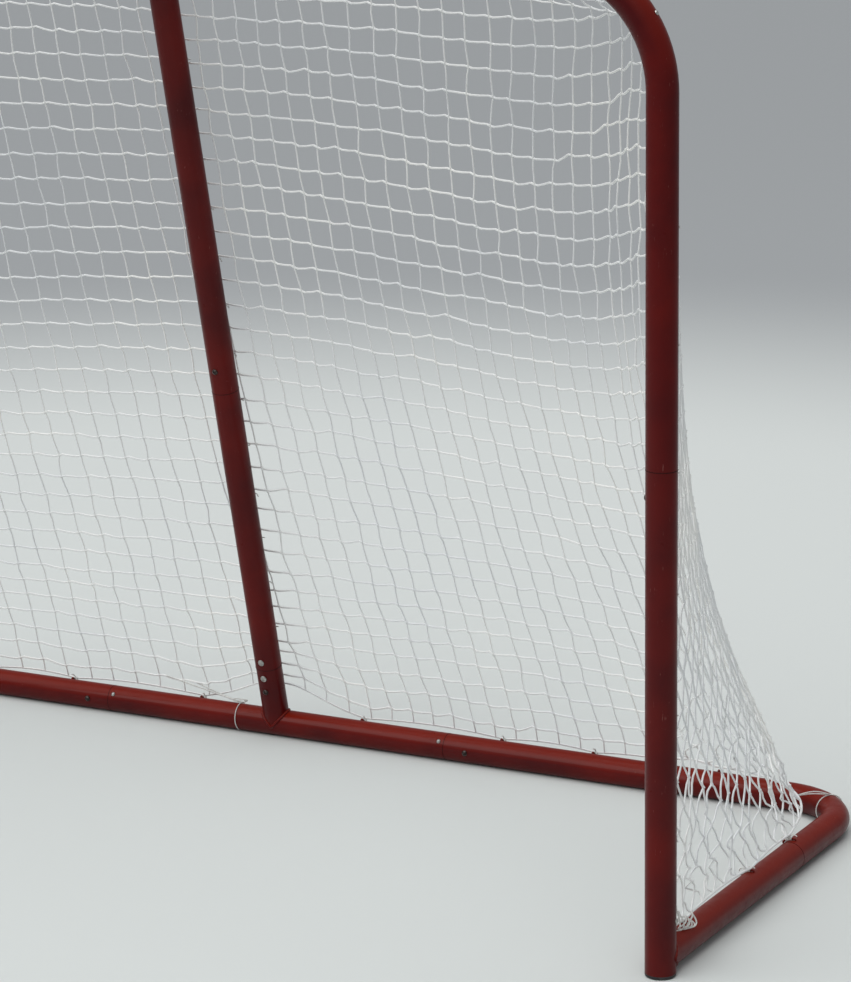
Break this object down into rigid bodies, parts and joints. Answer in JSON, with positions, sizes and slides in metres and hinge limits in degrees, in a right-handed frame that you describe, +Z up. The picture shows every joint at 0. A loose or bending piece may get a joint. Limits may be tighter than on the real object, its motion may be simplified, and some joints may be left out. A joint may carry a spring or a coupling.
{
  "type": "hockey goal net",
  "caption": "Knock-down hockey goal with a bent steel tube frame, a leaning centre support, snap-button joints and a tied white net.",
  "frame": {"origin": "middle of the footprint, on the floor", "axes": "+X to the goal's right as seen from the front, the mouth faces -Y, +Z up"},
  "size_m": [1.8332, 0.6845, 1.2269],
  "materials": {
    "red_paint": "gloss",
    "zinc_steel": "satin",
    "black_cap": "matt",
    "net_cord": "matt",
    "tie_cord": "matt"
  },
  "bodies": {
    "goal_frame": {"crossbar_centre": "red_paint", "upper_post_right": "red_paint", "upper_post_left": "red_paint", "lower_post_right": "red_paint", "lower_post_left": "red_paint", "side_tube_right": "red_paint", "side_tube_left": "red_paint", "rear_corner_right": "red_paint", "rear_corner_left": "red_paint", "rear_rail_centre": "red_paint", "support_upper": "red_paint", "support_lower": "red_paint", "foot_cap_right": "black_cap", "foot_cap_left": "black_cap", "foot_bolts": "zinc_steel", "foot_bolt_nuts": "zinc_steel", "net_studs": "zinc_steel", "post_ties_right": "tie_cord", "post_ties_left": "tie_cord", "side_ties_right": "tie_cord", "side_ties_left": "tie_cord", "rail_ties": "tie_cord", "support_ties": "tie_cord", "crossbar_ties": "tie_cord", "net_side_right": "net_cord", "net_side_left": "net_cord", "net_back_right": "net_cord", "net_back_left": "net_cord", "net_roof_right": "net_cord", "net_roof_left": "net_cord", "post_spring_right": "zinc_steel", "post_spring_left": "zinc_steel", "side_spring_right": "zinc_steel", "side_spring_left": "zinc_steel", "rail_spring_right": "zinc_steel", "rail_spring_left": "zinc_steel", "crossbar_spring_right": "zinc_steel", "crossbar_spring_left": "zinc_steel", "arm_spring": "zinc_steel", "leg_spring": "zinc_steel", "foot_spring": "zinc_steel"},
    "post_button_right_body": {"post_button_right": "zinc_steel"},
    "post_button_left_body": {"post_button_left": "zinc_steel"},
    "side_button_right_body": {"side_button_right": "zinc_steel"},
    "side_button_left_body": {"side_button_left": "zinc_steel"},
    "rail_button_right_body": {"rail_button_right": "zinc_steel"},
    "rail_button_left_body": {"rail_button_left": "zinc_steel"},
    "crossbar_button_right_body": {"crossbar_button_right": "zinc_steel"},
    "crossbar_button_left_body": {"crossbar_button_left": "zinc_steel"},
    "arm_button_body": {"arm_button": "zinc_steel"},
    "leg_button_body": {"leg_button": "zinc_steel"},
    "foot_button_body": {"foot_button": "zinc_steel"}
  },
  "joints": [
    {"name": "post_button_press_right", "type": "slide", "parent": "goal_frame", "child": "post_button_right_body", "axis": [1, 0, 0], "range_m": [0, 0.0046], "stiffness_N_per_m": 900, "deforming": ["post_spring_right"]},
    {"name": "post_button_press_left", "type": "slide", "parent": "goal_frame", "child": "post_button_left_body", "axis": [-1, 0, 0], "range_m": [0, 0.0046], "stiffness_N_per_m": 900, "deforming": ["post_spring_left"]},
    {"name": "side_button_press_right", "type": "slide", "parent": "goal_frame", "child": "side_button_right_body", "axis": [1, 0, 0], "range_m": [0, 0.0046], "stiffness_N_per_m": 900, "deforming": ["side_spring_right"]},
    {"name": "side_button_press_left", "type": "slide", "parent": "goal_frame", "child": "side_button_left_body", "axis": [-1, 0, 0], "range_m": [0, 0.0046], "stiffness_N_per_m": 900, "deforming": ["side_spring_left"]},
    {"name": "rail_button_press_right", "type": "slide", "parent": "goal_frame", "child": "rail_button_right_body", "axis": [0, 1, 0], "range_m": [0, 0.0046], "stiffness_N_per_m": 900, "deforming": ["rail_spring_right"]},
    {"name": "rail_button_press_left", "type": "slide", "parent": "goal_frame", "child": "rail_button_left_body", "axis": [0, 1, 0], "range_m": [0, 0.0046], "stiffness_N_per_m": 900, "deforming": ["rail_spring_left"]},
    {"name": "crossbar_button_press_right", "type": "slide", "parent": "goal_frame", "child": "crossbar_button_right_body", "axis": [0, 0, 1], "range_m": [0, 0.0046], "stiffness_N_per_m": 900, "deforming": ["crossbar_spring_right"]},
    {"name": "crossbar_button_press_left", "type": "slide", "parent": "goal_frame", "child": "crossbar_button_left_body", "axis": [0, 0, 1], "range_m": [0, 0.0046], "stiffness_N_per_m": 900, "deforming": ["crossbar_spring_left"]},
    {"name": "arm_button_press", "type": "slide", "parent": "goal_frame", "child": "arm_button_body", "axis": [0, 0, 1], "range_m": [0, 0.0046], "stiffness_N_per_m": 900, "deforming": ["arm_spring"]},
    {"name": "leg_button_press", "type": "slide", "parent": "goal_frame", "child": "leg_button_body", "axis": [0, 0.9727, 0.2323], "range_m": [0, 0.0046], "stiffness_N_per_m": 900, "deforming": ["leg_spring"]},
    {"name": "foot_button_press", "type": "slide", "parent": "goal_frame", "child": "foot_button_body", "axis": [0, 0.9727, 0.2323], "range_m": [0, 0.0046], "stiffness_N_per_m": 900, "deforming": ["foot_spring"]}
  ]
}
